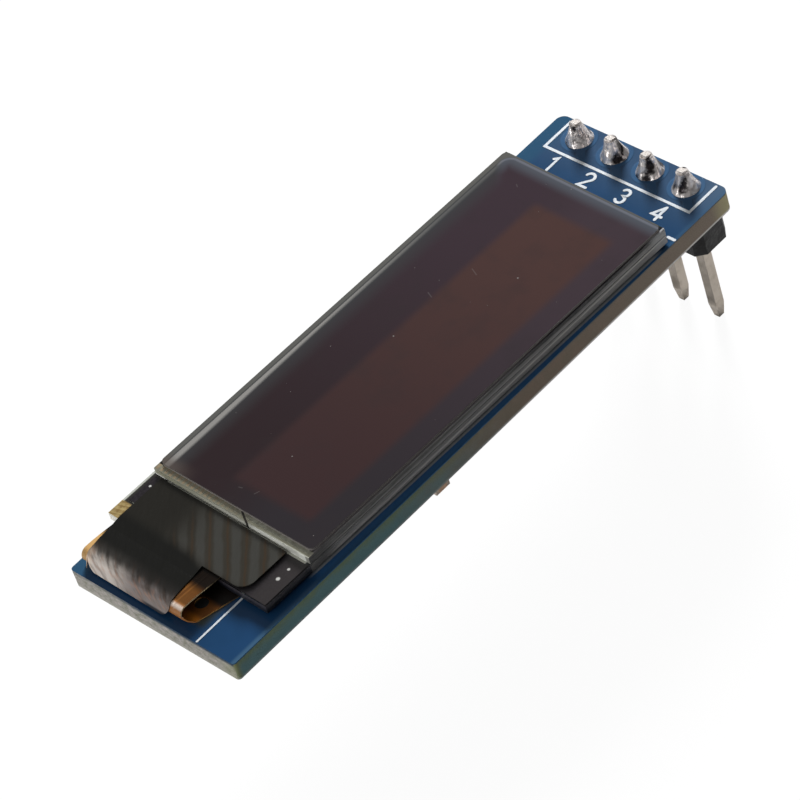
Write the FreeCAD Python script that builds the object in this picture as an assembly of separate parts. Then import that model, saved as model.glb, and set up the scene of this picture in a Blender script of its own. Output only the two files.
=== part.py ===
import FreeCAD, Part
import math
import os

# Small OLED display module: a glass display panel on a narrow circuit board with a four-pin header.
# Millimetres. The origin is the middle of the pin row, in the plane where the header housing
# seats. +X runs from the display to the header, +Y to the left of that, +Z up out of the display.

Vec = FreeCAD.Vector

# Circuit board
board_length = 38.0
board_width = 12.0
board_thick = 1.2
board_far_radius = 0.5
board_near_radius = 0.2
row_to_far_edge = 1.0
hole_radius = 0.5

# Pin header
pin_count = 4
pitch = 2.54
pin_side = 0.6
pin_below_housing = 5.8
pin_above_board = 1.33
pin_taper_length = 0.9
pin_tip_side = 0.38
pin_clip_drop = 0.2
housing_height = 2.5
housing_width = 2.5
housing_chamfer = 0.5

# Solder joints
solder_base_radius = 0.8
solder_waist_radius = 0.56
solder_top_radius = 0.34
solder_waist_height = 0.45
solder_height = 1.14

# Display panel, drawn in its own directions: u from its near end, w from its right-hand side
panel_length = 30.0
panel_width = 11.5
panel_row_distance = 18.6
panel_side_offset = 0.24
panel_turn_deg = -1.0
pad_thick = 0.12
pad_inset = 0.6
pad_flex_gap = 0.5
substrate_thick = 0.5
substrate_left_reach = 0.25
seal_thick = 0.03
seal_width = 1.1
seal_inset = 0.1
emitter_thick = 0.02
emitter_near_margin = 1.9
emitter_far_margin = 2.47
emitter_right_margin = 1.85
emitter_width = 5.58
cap_thick = 0.45
ledge_length = 3.25
polarizer_thick = 0.17
polarizer_near_inset = 0.4
polarizer_far_inset = 0.1
polarizer_side_inset = 0.1
polarizer_corner_radius = 0.3

# Flexible circuit that leaves the ledge, turns over the near end and runs back on the board
flex_thick = 0.08
flex_right = 3.37
flex_left = 10.83
flex_bond_end = 1.15
flex_lift_start = 0.6
flex_bend_u = -2.36
flex_bend_radius = 0.4
flex_tail_end = 1.9
flex_flare_knee = (-2.35, 2.8)
flex_flare_end = (0.2, 2.1)
flex_hole_u = -1.34
flex_hole_w = 3.48
flex_hole_radius = 0.38

# Display driver chip and black sheets on the ledge
driver_length = 6.8
driver_width = 0.9
driver_thick = 0.15
driver_middle_u = 2.0
driver_middle_w = 6.0
mask_thick = 0.05
mask_inset = 0.05
mask_left_gap = 0.1
mask_notch_u = 1.2
mask_clearance = 0.1
tape_thick = 0.06
tape_far_gap = 0.15
tape_near_u = 0.05
tape_right = 1.5
tape_left = 10.85
tape_bend_right = 4.6
tape_bend_shift = 0.5
tape_corner_radius = 0.8
tape_end_radius = 0.8
tape_wrap_deg = 65.0
tape_flap_length = 0.56

# Parts soldered under the board: middle in x from the board's near end, in y from its right side
chip_length = 1.6
chip_width = 0.8
capacitor_height = 0.85
resistor_height = 0.45
chip_end_share = 0.2
chip_end_proud = 0.02
chip_bevel = 0.06
small_chip_length = 1.0
small_chip_width = 0.5
small_capacitor_height = 0.5
small_capacitor_place = (15.1, 0.4)
capacitor_places = {
    "capacitor_2": (8.6, 2.7, 90.0),
    "capacitor_3": (8.6, 6.0, 90.0),
    "capacitor_4": (8.6, 9.3, 90.0),
    "capacitor_5": (11.0, 9.3, 90.0),
    "capacitor_6": (17.9, 9.6, 0.0),
    "capacitor_7": (26.9, 3.2, 90.0),
    "capacitor_8": (26.9, 8.8, 90.0),
}
resistor_places = {
    "resistor_1": (11.0, 2.7, 90.0),
    "resistor_2": (11.0, 6.0, 90.0),
    "resistor_3": (30.2, 4.4, 0.0),
    "resistor_4": (30.2, 7.6, 0.0),
}
regulator_place = (22.6, 6.0)
regulator_length = 2.9
regulator_width = 1.3
regulator_height = 1.0
regulator_standoff = 0.1
regulator_draft = 0.12
lead_pitch = 0.95
lead_width = 0.4
lead_thick = 0.12
lead_reach = 0.55
lead_foot = 0.35

# Places worked out from the sizes above
board_bottom = housing_height
board_top = board_bottom + board_thick
board_far_x = row_to_far_edge
board_near_x = board_far_x - board_length
board_right_y = -board_width / 2
substrate_bottom = board_top + pad_thick
ledge_top = substrate_bottom + substrate_thick
cap_bottom = ledge_top + seal_thick
cap_top = cap_bottom + cap_thick
polarizer_top = cap_top + polarizer_thick
ledge_end = ledge_length
mask_far = ledge_end - tape_far_gap
pin_places = [(0.0, pitch * (i - (pin_count - 1) / 2)) for i in reversed(range(pin_count))]


def block(low, high):
    """Box between two opposite corners."""
    size = [b - a for a, b in zip(low, high)]
    return Part.makeBox(size[0], size[1], size[2], Vec(*low))


def prism(points, height):
    """Straight prism with a flat polygon outline, raised along Z."""
    outline = Part.makePolygon([Vec(*p) for p in points] + [Vec(*points[0])])
    return Part.Face(outline).extrude(Vec(0, 0, height))


def stack(x, y, levels):
    """Flat-faced solid round an upright axis through rectangles given as (half length, half width, height)."""
    rings = [[Vec(x + i * a, y + j * b, z) for i, j in ((-1, -1), (1, -1), (1, 1), (-1, 1))] for a, b, z in levels]
    outlines = [rings[0], rings[-1]]
    for low, high in zip(rings, rings[1:]):
        outlines += [[low[i - 1], low[i], high[i], high[i - 1]] for i in range(4)]
    return Part.Solid(Part.Shell([Part.Face(Part.makePolygon(points + points[:1])) for points in outlines]))


def upright_edges(shape, corners):
    """The vertical edges of a shape that stand at the given (x, y) corners."""
    found = []
    for edge in shape.Edges:
        a, b = edge.Vertexes[0].Point, edge.Vertexes[-1].Point
        if abs(a.z - b.z) > 1e-6 and math.hypot(a.x - b.x, a.y - b.y) < 1e-6:
            if any(math.hypot(a.x - x, a.y - y) < 1e-6 for x, y in corners):
                found.append(edge)
    return found


def arc(start, middle, end):
    """Arc edge through three points given as (u, z) in the panel's length-height plane."""
    u0, u1, u2 = (Vec(u, 0, z) for u, z in (start, middle, end))
    return Part.Arc(u0, u1, u2).toShape()


def on_circle(centre, radius, degrees):
    """Point of a circle in the length-height plane, by its angle from the +u direction."""
    a = math.radians(degrees)
    return centre[0] + radius * math.cos(a), centre[1] + radius * math.sin(a)


def band(path, thick, right, left):
    """Sheet of one thickness that follows a path of tangent edges and reaches from right to left."""
    start = path[0].Vertexes[0].Point
    half = thick / 2
    corners = [(right, -half), (left, -half), (left, half), (right, half)]
    section = Part.makePolygon([Vec(start.x, w, start.z + dz) for w, dz in corners + corners[:1]])
    return Part.Wire(path).makePipeShell([section], True, False)


def on_panel(shape):
    """Moves a shape drawn in the panel's own directions to where the panel lies on the board."""
    shape = shape.copy()
    shape.translate(Vec(-panel_length / 2, -panel_width / 2, 0))
    shape.rotate(Vec(0, 0, 0), Vec(0, 0, 1), panel_turn_deg)
    shape.translate(Vec(-panel_row_distance, panel_side_offset, 0))
    return shape


def panel_plate(near, far, right, left, bottom, top):
    """Rectangular plate between limits along and across the panel."""
    return on_panel(block((near, right, bottom), (far, left, top)))


def make_board():
    """Circuit board with four plated holes and softly rounded corners."""
    low = (board_near_x, board_right_y, board_bottom)
    board = block(low, (board_far_x, -board_right_y, board_top))
    for x, radius in ((board_far_x, board_far_radius), (board_near_x, board_near_radius)):
        corners = [(x, board_right_y), (x, -board_right_y)]
        board = board.makeFillet(radius, upright_edges(board, corners))
    for x, y in pin_places:
        board = board.cut(Part.makeCylinder(hole_radius, board_thick, Vec(x, y, board_bottom)))
    return board


def make_housing():
    """Plastic strip of the header: one eight-sided block a pin, joined in a row."""
    half_x, half_y, cut = housing_width / 2, pitch / 2, housing_chamfer
    outline = [
        (half_x, half_y - cut), (half_x - cut, half_y), (cut - half_x, half_y), (-half_x, half_y - cut),
        (-half_x, cut - half_y), (cut - half_x, -half_y), (half_x - cut, -half_y), (half_x, cut - half_y),
    ]
    blocks = [prism([(x + dx, y + dy, 0) for dx, dy in outline], housing_height) for x, y in pin_places]
    strip = blocks[0].multiFuse(blocks[1:]).removeSplitter()
    half = pin_side / 2
    for x, y in pin_places:
        strip = strip.cut(block((x - half, y - half, 0), (x + half, y + half, housing_height)))
    return strip


def make_pin(x, y):
    """Square header pin, tapered at both ends, its upper end snipped at a slant."""
    top = board_top + pin_above_board
    half, tip = pin_side / 2, pin_tip_side / 2
    pin = stack(x, y, [
        (tip, tip, -pin_below_housing),
        (half, half, pin_taper_length - pin_below_housing),
        (half, half, top - pin_taper_length),
        (tip, tip, top),
    ])
    far, near = x + half, x - half
    slant = [(near, 0, top), (far, 0, top), (far, 0, top - pin_clip_drop)]
    wedge = Part.Face(Part.makePolygon([Vec(*p) for p in slant + slant[:1]]))
    wedge.translate(Vec(0, y - pin_side, 0))
    return pin.cut(wedge.extrude(Vec(0, 2 * pin_side, 0)))


def make_solder(x, y):
    """Solder joint: fills the hole round the pin and climbs it in a hollow cone on the display side."""
    base = Vec(solder_base_radius, 0, board_top)
    waist = Vec(solder_waist_radius, 0, board_top + solder_waist_height)
    crown = Vec(solder_top_radius, 0, board_top + solder_height)
    flank = Part.BSplineCurve()
    flank.interpolate([base, waist, crown])
    axis_top = Vec(0, 0, crown.z)
    axis_low = Vec(0, 0, board_top)
    edges = [flank.toShape(), Part.makeLine(crown, axis_top), Part.makeLine(axis_top, axis_low)]
    edges.append(Part.makeLine(axis_low, base))
    cone = Part.Face(Part.Wire(edges)).revolve(Vec(0, 0, 0), Vec(0, 0, 1), 360)
    cone.translate(Vec(x, y, 0))
    barrel = Part.makeCylinder(hole_radius, board_thick, Vec(x, y, board_bottom))
    return cone.fuse(barrel).cut(make_pin(x, y))


def make_seal():
    """Flat bead of resin round the edge between the two glass plates."""
    near, far = ledge_end + seal_inset, panel_length - seal_inset
    right, left = seal_inset, panel_width - seal_inset
    ring = block((near, right, ledge_top), (far, left, cap_bottom))
    inner_low = (near + seal_width, right + seal_width, ledge_top)
    inner_high = (far - seal_width, left - seal_width, cap_bottom)
    return on_panel(ring.cut(block(inner_low, inner_high)))


def make_emitter():
    """Thin matrix of light-emitting dots in the gap between the two glass plates."""
    near, far = ledge_end + emitter_near_margin, panel_length - emitter_far_margin
    right, left = emitter_right_margin, emitter_right_margin + emitter_width
    return panel_plate(near, far, right, left, ledge_top, ledge_top + emitter_thick)


def make_polarizer():
    """Dark front film, cut a little smaller than the glass, with rounded corners."""
    near, far = ledge_end + polarizer_near_inset, panel_length - polarizer_far_inset
    right, left = polarizer_side_inset, panel_width - polarizer_side_inset
    film = block((near, right, cap_top), (far, left, polarizer_top))
    corners = [(u, w) for u in (near, far) for w in (right, left)]
    return on_panel(film.makeFillet(polarizer_corner_radius, upright_edges(film, corners)))


def flex_levels():
    """Heights of the flex's middle line on the board, at the top of its turn and on the ledge."""
    low = board_top + flex_thick / 2
    return low, low + 2 * flex_bend_radius, ledge_top + flex_thick / 2


def flex_slope():
    """Radius and half angle of the two equal arcs that lead from the turn down to the ledge."""
    _, high, bond = flex_levels()
    run, drop = flex_lift_start - flex_bend_u, high - bond
    radius = (run ** 2 + drop ** 2) / (4 * drop)
    return radius, math.degrees(math.asin(run / 2 / radius))


def make_flex():
    """Flexible circuit: bonded on the ledge, lifted in a slow S, turned back and laid on the board."""
    low, high, bond = flex_levels()
    radius, angle = flex_slope()
    turn_centre = (flex_bend_u, low + flex_bend_radius)
    crest_centre = (flex_bend_u, high - radius)
    foot_centre = (flex_lift_start, bond + radius)
    side = on_circle(turn_centre, flex_bend_radius, 180)
    middle = on_circle(crest_centre, radius, 90 - angle)
    path = [
        Part.makeLine(Vec(flex_tail_end, 0, low), Vec(flex_bend_u, 0, low)),
        arc((flex_bend_u, low), side, (flex_bend_u, high)),
        arc((flex_bend_u, high), on_circle(crest_centre, radius, 90 - angle / 2), middle),
        arc(middle, on_circle(foot_centre, radius, 270 - angle / 2), (flex_lift_start, bond)),
        Part.makeLine(Vec(flex_lift_start, 0, bond), Vec(flex_bond_end, 0, bond)),
    ]
    tail_right = flex_flare_end[1]
    flex = band(path, flex_thick, tail_right, flex_left)
    outer = flex_bend_u - flex_bend_radius - flex_thick
    beyond = tail_right - 1
    upper = block((outer, beyond, side[1]), (flex_bond_end + 1, flex_right, high + 1))
    lower = [(outer, beyond), (flex_flare_end[0], beyond), flex_flare_end, flex_flare_knee, (outer, flex_right)]
    trim = prism([(u, w, board_top) for u, w in lower], flex_bend_radius + flex_thick)
    flex = flex.cut(upper).cut(trim)
    hole = Part.makeCylinder(flex_hole_radius, flex_bend_radius, Vec(flex_hole_u, flex_hole_w, board_top))
    return on_panel(flex.cut(hole))


def make_driver():
    """Bare display driver chip bonded on the ledge under the tape."""
    u, w = driver_middle_u - driver_width / 2, driver_middle_w - driver_length / 2
    top = ledge_top + driver_thick
    return panel_plate(u, u + driver_width, w, w + driver_length, ledge_top, top)


def make_mask():
    """Matt black sheet on the ledge, cut away round the chip, the flex and the left-hand corner."""
    right, left = mask_inset, panel_width - mask_left_gap
    top = ledge_top + mask_thick
    sheet = block((mask_inset, right, ledge_top), (mask_far, left, top))
    flex_gap = block((mask_inset, flex_right - mask_clearance, ledge_top), (mask_notch_u, left, top))
    u, w = driver_middle_u - driver_width / 2, driver_middle_w - driver_length / 2
    chip_low = (u - mask_clearance, w - mask_clearance, ledge_top)
    chip_high = (u + driver_width + mask_clearance, w + driver_length + mask_clearance, top)
    return on_panel(sheet.cut(flex_gap).cut(block(chip_low, chip_high)))


def make_tape():
    """Black tape: flat over the chip, then over the flex and down its turn, narrower than the flex."""
    low, high, bond = flex_levels()
    radius, angle = flex_slope()
    lift = (flex_thick + tape_thick) / 2
    flat = ledge_top + driver_thick + tape_thick / 2
    foot_centre = (flex_lift_start, bond + radius)
    crest_centre = (flex_bend_u, high - radius)
    turn_centre = (flex_bend_u, low + flex_bend_radius)
    rise = foot_centre[1] - flat
    meet_angle = 270 - math.degrees(math.acos(rise / (radius - lift)))
    meet = on_circle(foot_centre, radius - lift, meet_angle)
    middle = on_circle(foot_centre, radius - lift, 270 - angle)
    crest = on_circle(crest_centre, radius + lift, 90)
    turn_radius = flex_bend_radius + lift
    leave_angle = 90 + tape_wrap_deg
    leave = on_circle(turn_centre, turn_radius, leave_angle)
    end = on_circle(leave, tape_flap_length, leave_angle + 90)
    path = [
        Part.makeLine(Vec(mask_far, 0, flat), Vec(meet[0], 0, flat)),
        arc(meet, on_circle(foot_centre, radius - lift, (meet_angle + 270 - angle) / 2), middle),
        arc(middle, on_circle(crest_centre, radius + lift, 90 - angle / 2), crest),
        arc(crest, on_circle(turn_centre, turn_radius, 90 + tape_wrap_deg / 2), leave),
        Part.makeLine(Vec(leave[0], 0, leave[1]), Vec(end[0], 0, end[1])),
    ]
    tape = band(path, tape_thick, tape_right, tape_left)
    tape = tape.common(tape_outline(end[0] - tape_thick, low, high + 1))
    return on_panel(tape.cut(tape_end_corners(end)))


def tape_outline(outer, low, high):
    """Upright prism of the tape's outline seen from above: wide on the ledge, narrow and askew beyond."""
    wide = block((tape_near_u, tape_right, low), (mask_far, tape_left, high))
    wide = wide.makeFillet(tape_corner_radius, upright_edges(wide, [(tape_near_u, tape_right)]))
    inside = tape_near_u + tape_corner_radius
    narrow = [
        (inside, tape_bend_right, low), (tape_near_u, tape_bend_right, low),
        (outer, tape_bend_right - tape_bend_shift, low), (outer, tape_left - tape_bend_shift, low),
        (tape_near_u, tape_left, low), (inside, tape_left, low),
    ]
    return wide.fuse(prism(narrow, high - low)).removeSplitter()


def tape_end_corners(end):
    """What rounds the two lower corners of the tape's free end."""
    outer, depth, r = end[0] - 1, 2, tape_end_radius
    low = end[1] - tape_thick / 2 * math.cos(math.radians(tape_wrap_deg))
    shift = tape_bend_shift
    corners = []
    for edge_w, inward in ((tape_bend_right - shift, 1), (tape_left - shift, -1)):
        middle_w = edge_w + inward * r
        square = block((outer, min(edge_w, middle_w), low - r), (outer + depth, max(edge_w, middle_w), low + r))
        round_bar = Part.makeCylinder(r, depth, Vec(outer, middle_w, low + r), Vec(1, 0, 0))
        corners.append(square.cut(round_bar))
    return corners[0].fuse(corners[1])


def under_board(shape, place, turn_deg=0.0):
    """Hangs a shape, drawn with its seat at z = 0 and its body below, under the board."""
    shape = shape.copy()
    shape.rotate(Vec(0, 0, 0), Vec(0, 0, 1), turn_deg)
    shape.translate(Vec(board_near_x + place[0], board_right_y + place[1], board_bottom))
    return shape


def make_chip(length, width, height):
    """Chip part with its two metal-capped ends a little proud of the middle."""
    half_l, half_w, proud = length / 2, width / 2, chip_end_proud
    end_length = chip_end_share * length
    middle = block((-half_l, proud - half_w, proud - height), (half_l, half_w - proud, -proud))
    chip = middle
    for start in (-half_l, half_l - end_length):
        end = block((start, -half_w, -height), (start + end_length, half_w, 0))
        chip = chip.fuse(end.makeChamfer(chip_bevel, end.Edges))
    return chip.removeSplitter()


def make_regulator_body():
    """Moulded body of the voltage regulator, with drafted sides."""
    top = -regulator_standoff
    half_l, half_w = regulator_length / 2, regulator_width / 2
    slim_l, slim_w = half_l - regulator_draft, half_w - regulator_draft
    return stack(0, 0, [
        (slim_l, slim_w, top - regulator_height),
        (half_l, half_w, top - regulator_height / 2),
        (slim_l, slim_w, top),
    ])


def make_lead(x, side):
    """One bent lead of the regulator, from the middle of its side down to the board."""
    face_y = regulator_width / 2
    mid_z = -regulator_standoff - regulator_height / 2
    outer_y = face_y + lead_reach
    drop_y = outer_y - lead_foot
    t = lead_thick
    ring = [
        (face_y, mid_z), (drop_y, mid_z), (drop_y, -t), (outer_y, -t), (outer_y, 0),
        (drop_y - t, 0), (drop_y - t, mid_z + t), (face_y, mid_z + t),
    ]
    points = [Vec(x - lead_width / 2, side * y, z) for y, z in ring]
    return Part.Face(Part.makePolygon(points + points[:1])).extrude(Vec(lead_width, 0, 0))


def make_regulator_leads():
    """The three leads: two on one side, one on the other."""
    places = {"1": (-lead_pitch, -1), "2": (lead_pitch, -1), "3": (0.0, 1)}
    body = make_regulator_body()
    return {name: make_lead(x, side).cut(body) for name, (x, side) in places.items()}


def make_parts():
    """Every separate piece of the module, by the name of its file."""
    parts = {"circuit_board": make_board(), "header_housing": make_housing()}
    for number, (x, y) in enumerate(pin_places, 1):
        parts[f"header_pin_{number}"] = make_pin(x, y)
        parts[f"solder_joint_{number}"] = make_solder(x, y)
    pad_near = flex_tail_end + pad_flex_gap
    parts["mounting_tape"] = panel_plate(
        pad_near, panel_length - pad_inset, pad_inset, panel_width - pad_inset, board_top, substrate_bottom
    )
    parts["substrate_glass"] = panel_plate(
        0, panel_length, 0, panel_width + substrate_left_reach, substrate_bottom, ledge_top
    )
    parts["edge_seal"] = make_seal()
    parts["emitter_matrix"] = make_emitter()
    parts["cap_glass"] = panel_plate(ledge_end, panel_length, 0, panel_width, cap_bottom, cap_top)
    parts["polarizer"] = make_polarizer()
    parts["flex_circuit"] = make_flex()
    parts["driver_chip"] = make_driver()
    parts["ledge_mask"] = make_mask()
    parts["cover_tape"] = make_tape()
    small_chip = make_chip(small_chip_length, small_chip_width, small_capacitor_height)
    parts["capacitor_1"] = under_board(small_chip, small_capacitor_place)
    for name, (x, y, turn) in capacitor_places.items():
        parts[name] = under_board(make_chip(chip_length, chip_width, capacitor_height), (x, y), turn)
    for name, (x, y, turn) in resistor_places.items():
        parts[name] = under_board(make_chip(chip_length, chip_width, resistor_height), (x, y), turn)
    parts["regulator_body"] = under_board(make_regulator_body(), regulator_place)
    for name, lead in make_regulator_leads().items():
        parts[f"regulator_lead_{name}"] = under_board(lead, regulator_place)
    return parts


def main():
    os.makedirs("parts", exist_ok=True)
    for name, shape in make_parts().items():
        solids = shape.Solids
        if not shape.isValid() or not solids:
            raise ValueError(f"{name} is not a valid solid")
        shape.exportStep(f"parts/{name}.step")
        print(f"{name}: {len(solids)} solid, {shape.Volume:.4f} mm3")


main()
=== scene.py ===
import math

import bpy
import numpy as np
from bpy.props import FloatProperty, FloatVectorProperty, PointerProperty
from bpy.types import Operator, Panel, PropertyGroup
from mathutils import Matrix, Vector


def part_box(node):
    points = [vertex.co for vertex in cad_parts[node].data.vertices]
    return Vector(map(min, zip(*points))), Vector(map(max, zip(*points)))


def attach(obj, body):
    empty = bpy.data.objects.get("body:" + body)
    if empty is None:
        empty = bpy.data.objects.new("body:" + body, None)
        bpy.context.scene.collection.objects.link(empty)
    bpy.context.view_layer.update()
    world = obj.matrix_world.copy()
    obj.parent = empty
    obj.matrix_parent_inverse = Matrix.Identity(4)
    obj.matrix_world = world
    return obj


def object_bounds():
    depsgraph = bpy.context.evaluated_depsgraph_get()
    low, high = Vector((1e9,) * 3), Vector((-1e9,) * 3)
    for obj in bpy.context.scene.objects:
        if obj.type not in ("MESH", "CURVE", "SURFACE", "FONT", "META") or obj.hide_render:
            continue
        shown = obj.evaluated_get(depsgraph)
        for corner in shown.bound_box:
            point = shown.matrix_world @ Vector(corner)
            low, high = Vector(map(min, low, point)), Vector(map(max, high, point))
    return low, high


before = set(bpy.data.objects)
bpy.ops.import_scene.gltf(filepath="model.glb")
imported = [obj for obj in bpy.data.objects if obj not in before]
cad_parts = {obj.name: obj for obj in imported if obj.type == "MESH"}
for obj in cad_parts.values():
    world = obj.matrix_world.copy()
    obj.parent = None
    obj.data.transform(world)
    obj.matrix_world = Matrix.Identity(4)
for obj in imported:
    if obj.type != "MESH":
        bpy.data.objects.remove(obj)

bl_info = {
    "name": "Small OLED module",
    "version": (1, 0, 0),
    "blender": (4, 5, 0),
    "location": "3D View > Sidebar > OLED module",
    "description": "Dresses the solids of a small OLED display module: finishes, print and stage",
    "category": "Object",
}

# The frame is in metres; the drawing sizes below are in millimetres.
MM = 0.001
ROOT = "root"
CAD_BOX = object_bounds()
BOARD_LOW, BOARD_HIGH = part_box("circuit_board")

# Board, drawn in x from its near end, y from its right-hand side and z from its upper face
BOARD_WIDTH = (BOARD_HIGH[1] - BOARD_LOW[1]) / MM
PIN_ROW_X = -BOARD_LOW[0] / MM
PIN_PITCH = 2.54
PIN_COUNT = 4
PIN_Y = [BOARD_WIDTH / 2 + PIN_PITCH * (1.5 - i) for i in range(PIN_COUNT)]

# Copper under the lacquer at each pin
RING_RADIUS = 1.0
TRACK_RUN, TRACK_HALF_WIDTH = 1.2, 0.22
COPPER_SOFT = 0.08

# Display panel, drawn in u from its near end, w from its right-hand side and z from the board
PANEL_LENGTH, PANEL_WIDTH = 30.0, 11.5
PANEL_MIDDLE = (-18.6, 0.24)
PANEL_TURN = math.radians(-1.0)
LEDGE_END = 3.25
FILM_NEAR = 3.65
# The dots' field as it shows on the film; the glass over it shifts it a little from its true place
FIELD_U = (4.95, 27.7)
FIELD_W = (1.55, 7.15)
DOT_PITCH = 0.175
# Lines in the flexible circuit and slanting bands on the tape
COPPER_LINE_PITCH = 0.31
BAND_PITCH = 0.95
# Hairs on the film as (u, w) of both ends, and pale specks on the black sheet as u, w and radius
FILM_HAIRS = [
    ((22.4, 6.75), (22.2, 6.25)), ((28.3, 9.07), (28.2, 8.9)), ((4.64, 6.45), (4.7, 6.25)),
    ((19.9, 7.6), (19.75, 7.2)), ((4.75, 5.4), (5.0, 5.3)),
]
MASK_SPECKS = [(2.39, 0.71, 0.11), (1.64, 0.73, 0.15), (2.47, 11.12, 0.1)]

# Coloured share of a chip part's length, between its tinned ends
CHIP_BODY_SHARE = 0.6
# Size of a solder fillet as shares of its part's width and height
FILLET_WIDTH_SHARE, FILLET_HEIGHT_SHARE = 0.92, 0.55


def above_board(node, end):
    """Height of a node's lower (0) or upper (1) end over the board, in millimetres."""
    return (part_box(node)[end][2] - BOARD_HIGH[2]) / MM


PIN_FOOT_Z = above_board("header_pin_1", 0)
# Between the two glass plates, and half-way up the upper one
SEAM_Z = (above_board("substrate_glass", 1) + above_board("cap_glass", 0)) / 2
CAP_INSIDE_Z = (above_board("cap_glass", 0) + above_board("cap_glass", 1)) / 2


# Node wiring


class Wire:
    """A socket of a finish, or the result of an expression on sockets. Each operator adds a Math node."""

    def __init__(self, finish, socket):
        self.finish, self.socket = finish, socket

    def math(self, operation, *others):
        """A Math node with this wire as its first value."""
        return self.finish.add("ShaderNodeMath", {"operation": operation}, [self, *others])

    def __add__(self, other):
        return self.math("ADD", other)

    __radd__ = __add__

    def __sub__(self, other):
        return self.math("SUBTRACT", other)

    def __rsub__(self, other):
        return self.finish.add("ShaderNodeMath", {"operation": "SUBTRACT"}, [other, self])

    def __mul__(self, other):
        return self.math("MULTIPLY", other)

    __rmul__ = __mul__

    def __truediv__(self, other):
        return self.math("DIVIDE", other)

    def __neg__(self):
        return self.math("MULTIPLY", -1.0)

    def __abs__(self):
        return self.math("ABSOLUTE")

    def __gt__(self, other):
        return self.math("GREATER_THAN", other)

    def __lt__(self, other):
        return self.math("LESS_THAN", other)

    def low(self, other):
        """The smaller of two values."""
        return self.math("MINIMUM", other)

    def high(self, other):
        """The larger of two values."""
        return self.math("MAXIMUM", other)

    def ramp(self, start, end, first=0.0, last=1.0):
        """Smooth step from first to last while this value goes from start to end."""
        settings = {"interpolation_type": "SMOOTHSTEP"}
        return self.finish.add("ShaderNodeMapRange", settings, [self, start, end, first, last])


class Finish:
    """A material or world while it is being made, and the one method that adds nodes to it."""

    def __init__(self, name, kind="materials"):
        self.owner = getattr(bpy.data, kind).new(name)
        self.owner.use_nodes = True
        self.tree = self.owner.node_tree
        self.tree.nodes.clear()

    def add(self, kind, settings=None, inputs=(), output=0):
        """Adds a node: its settings first, then the values or wires of its sockets by place or name."""
        node = self.tree.nodes.new(kind)
        for name, value in (settings or {}).items():
            setattr(node, name, value)
        pairs = inputs.items() if isinstance(inputs, dict) else enumerate(inputs)
        for key, value in pairs:
            if isinstance(value, Wire):
                self.tree.links.new(value.socket, node.inputs[key])
            else:
                node.inputs[key].default_value = value
        return Wire(self, node.outputs[output]) if node.outputs else None

    def place(self, origin, turn=0.0):
        """Object coordinates in millimetres from an origin, turned about Z: x, y, z and a vector."""
        here = self.add("ShaderNodeTexCoord", output="Object")
        inputs = {"Vector": here, "Location": origin, "Rotation": (0, 0, turn), "Scale": (MM, MM, MM)}
        vector = self.add("ShaderNodeMapping", {"vector_type": "TEXTURE"}, inputs)
        return *self.split(vector), vector

    def board_place(self):
        """Place on the board, from its near right-hand upper corner."""
        return self.place((BOARD_LOW[0], BOARD_LOW[1], BOARD_HIGH[2]))

    def panel_place(self):
        """Place on the display panel, from its near right-hand corner on the board."""
        corner = Matrix.Rotation(PANEL_TURN, 3, "Z") @ Vector((-PANEL_LENGTH / 2, -PANEL_WIDTH / 2, 0))
        origin = (corner + Vector((*PANEL_MIDDLE, 0))) * MM
        return self.place((origin.x, origin.y, BOARD_HIGH[2]), PANEL_TURN)

    def split(self, vector):
        """The three parts of a vector."""
        node = self.add("ShaderNodeSeparateXYZ", inputs=[vector]).socket.node
        return [Wire(self, socket) for socket in node.outputs]

    def normal(self):
        """The three parts of the surface's own normal, in the object's directions."""
        return self.split(self.add("ShaderNodeTexCoord", output="Normal"))

    def stretch(self, vector, scale):
        """A vector with each part scaled, to draw a pattern out along one direction."""
        return self.add("ShaderNodeVectorMath", {"operation": "MULTIPLY"}, [vector, scale])

    def noise(self, vector, scale, detail=3.0, rough=0.55):
        """Soft noise around 0.5, with a scale in features a millimetre."""
        inputs = {"Vector": vector, "Scale": scale, "Detail": detail, "Roughness": rough}
        return self.add("ShaderNodeTexNoise", inputs=inputs)

    def cells(self, vector, scale, output="Distance"):
        """Distance to scattered points, or their random colours."""
        return self.add("ShaderNodeTexVoronoi", inputs={"Vector": vector, "Scale": scale}, output=output)

    def specks(self, vector, scale, share, radius):
        """Sparse round specks: points of a cell pattern, kept where their random colour is high."""
        near = self.cells(vector, scale) < radius
        chance = self.split(self.cells(vector, scale, output="Color"))[0]
        return near * (chance > 1 - share)

    def mix(self, mask, first, second):
        """Colour that goes from first to second as the mask goes from 0 to 1."""
        return self.add("ShaderNodeMix", {"data_type": "RGBA"}, {0: mask, 6: first, 7: second}, 2)

    def layers(self, base, *coats):
        """A base under coats that are laid on in turn, each as (mask, colour)."""
        for mask, tone in coats:
            base = self.mix(mask, base, tone)
        return base

    def bump(self, height, depth_mm, after=None):
        """Bump of a height pattern with its depth in millimetres, laid over another bump if one is given."""
        inputs = {"Height": height, "Distance": depth_mm * MM, "Strength": 1.0}
        if after:
            inputs["Normal"] = after
        return self.add("ShaderNodeBump", inputs=inputs)

    def surface(self, **sockets):
        """A Principled shader with the given sockets; underscores stand for spaces."""
        inputs = {name.replace("_", " "): value for name, value in sockets.items()}
        return self.add("ShaderNodeBsdfPrincipled", inputs=inputs)

    def done(self, shader):
        """Joins the shader to the output and returns the material."""
        self.add("ShaderNodeOutputMaterial", inputs=[shader])
        return self.owner


def rgb(red, green, blue):
    """Linear colour with alpha from the 0 to 255 values that a screen shows."""
    parts = [v / 255 for v in (red, green, blue)]
    return (*[v / 12.92 if v <= 0.04045 else ((v + 0.055) / 1.055) ** 2.4 for v in parts], 1.0)


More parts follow.
